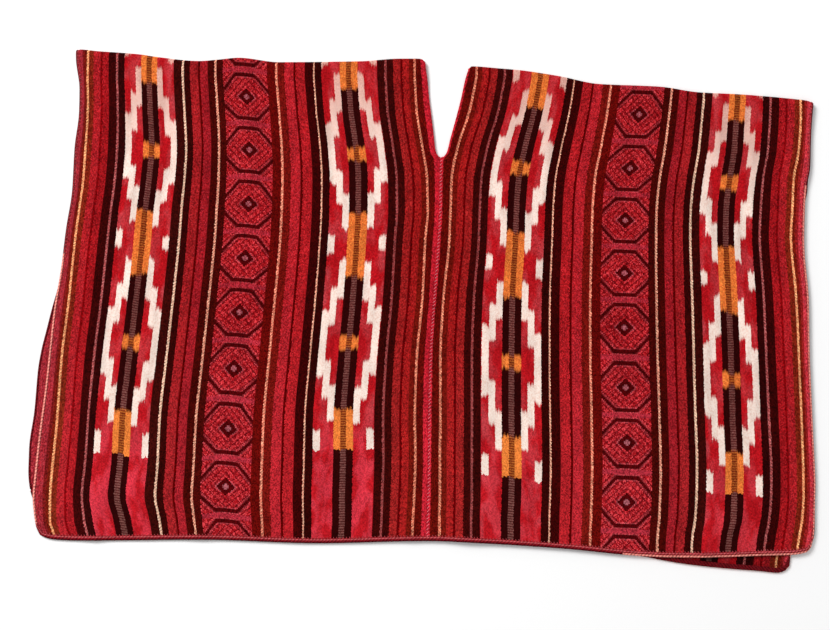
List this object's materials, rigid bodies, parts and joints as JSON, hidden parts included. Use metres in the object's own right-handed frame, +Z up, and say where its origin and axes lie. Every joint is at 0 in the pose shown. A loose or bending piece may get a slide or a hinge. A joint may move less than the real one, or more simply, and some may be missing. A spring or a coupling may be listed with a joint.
{
  "type": "poncho",
  "caption": "Striped wool poncho of two long webs, folded over at the shoulders and laid flat, with an open neck slot and bound edges.",
  "frame": {"origin": "middle of the folded garment's outline, on the surface it lies on", "axes": "+X across the cloth towards the right web, +Y up the cloth from the hems to the shoulder fold, +Z up from the surface through the back layer and the front layer"},
  "size_m": [1.2577, 0.842, 0.0096],
  "materials": {
    "wool_web": "warp-faced handwoven wool with ikat and figured bands, soft sheen",
    "wool_binding": "narrow woven wool edging, matt"
  },
  "bodies": {
    "root": {"web_left": "wool_web", "web_right": "wool_web", "hem_binding_front": "wool_binding", "hem_binding_back": "wool_binding", "side_binding_left": "wool_binding", "side_binding_right": "wool_binding"}
  },
  "joints": []
}
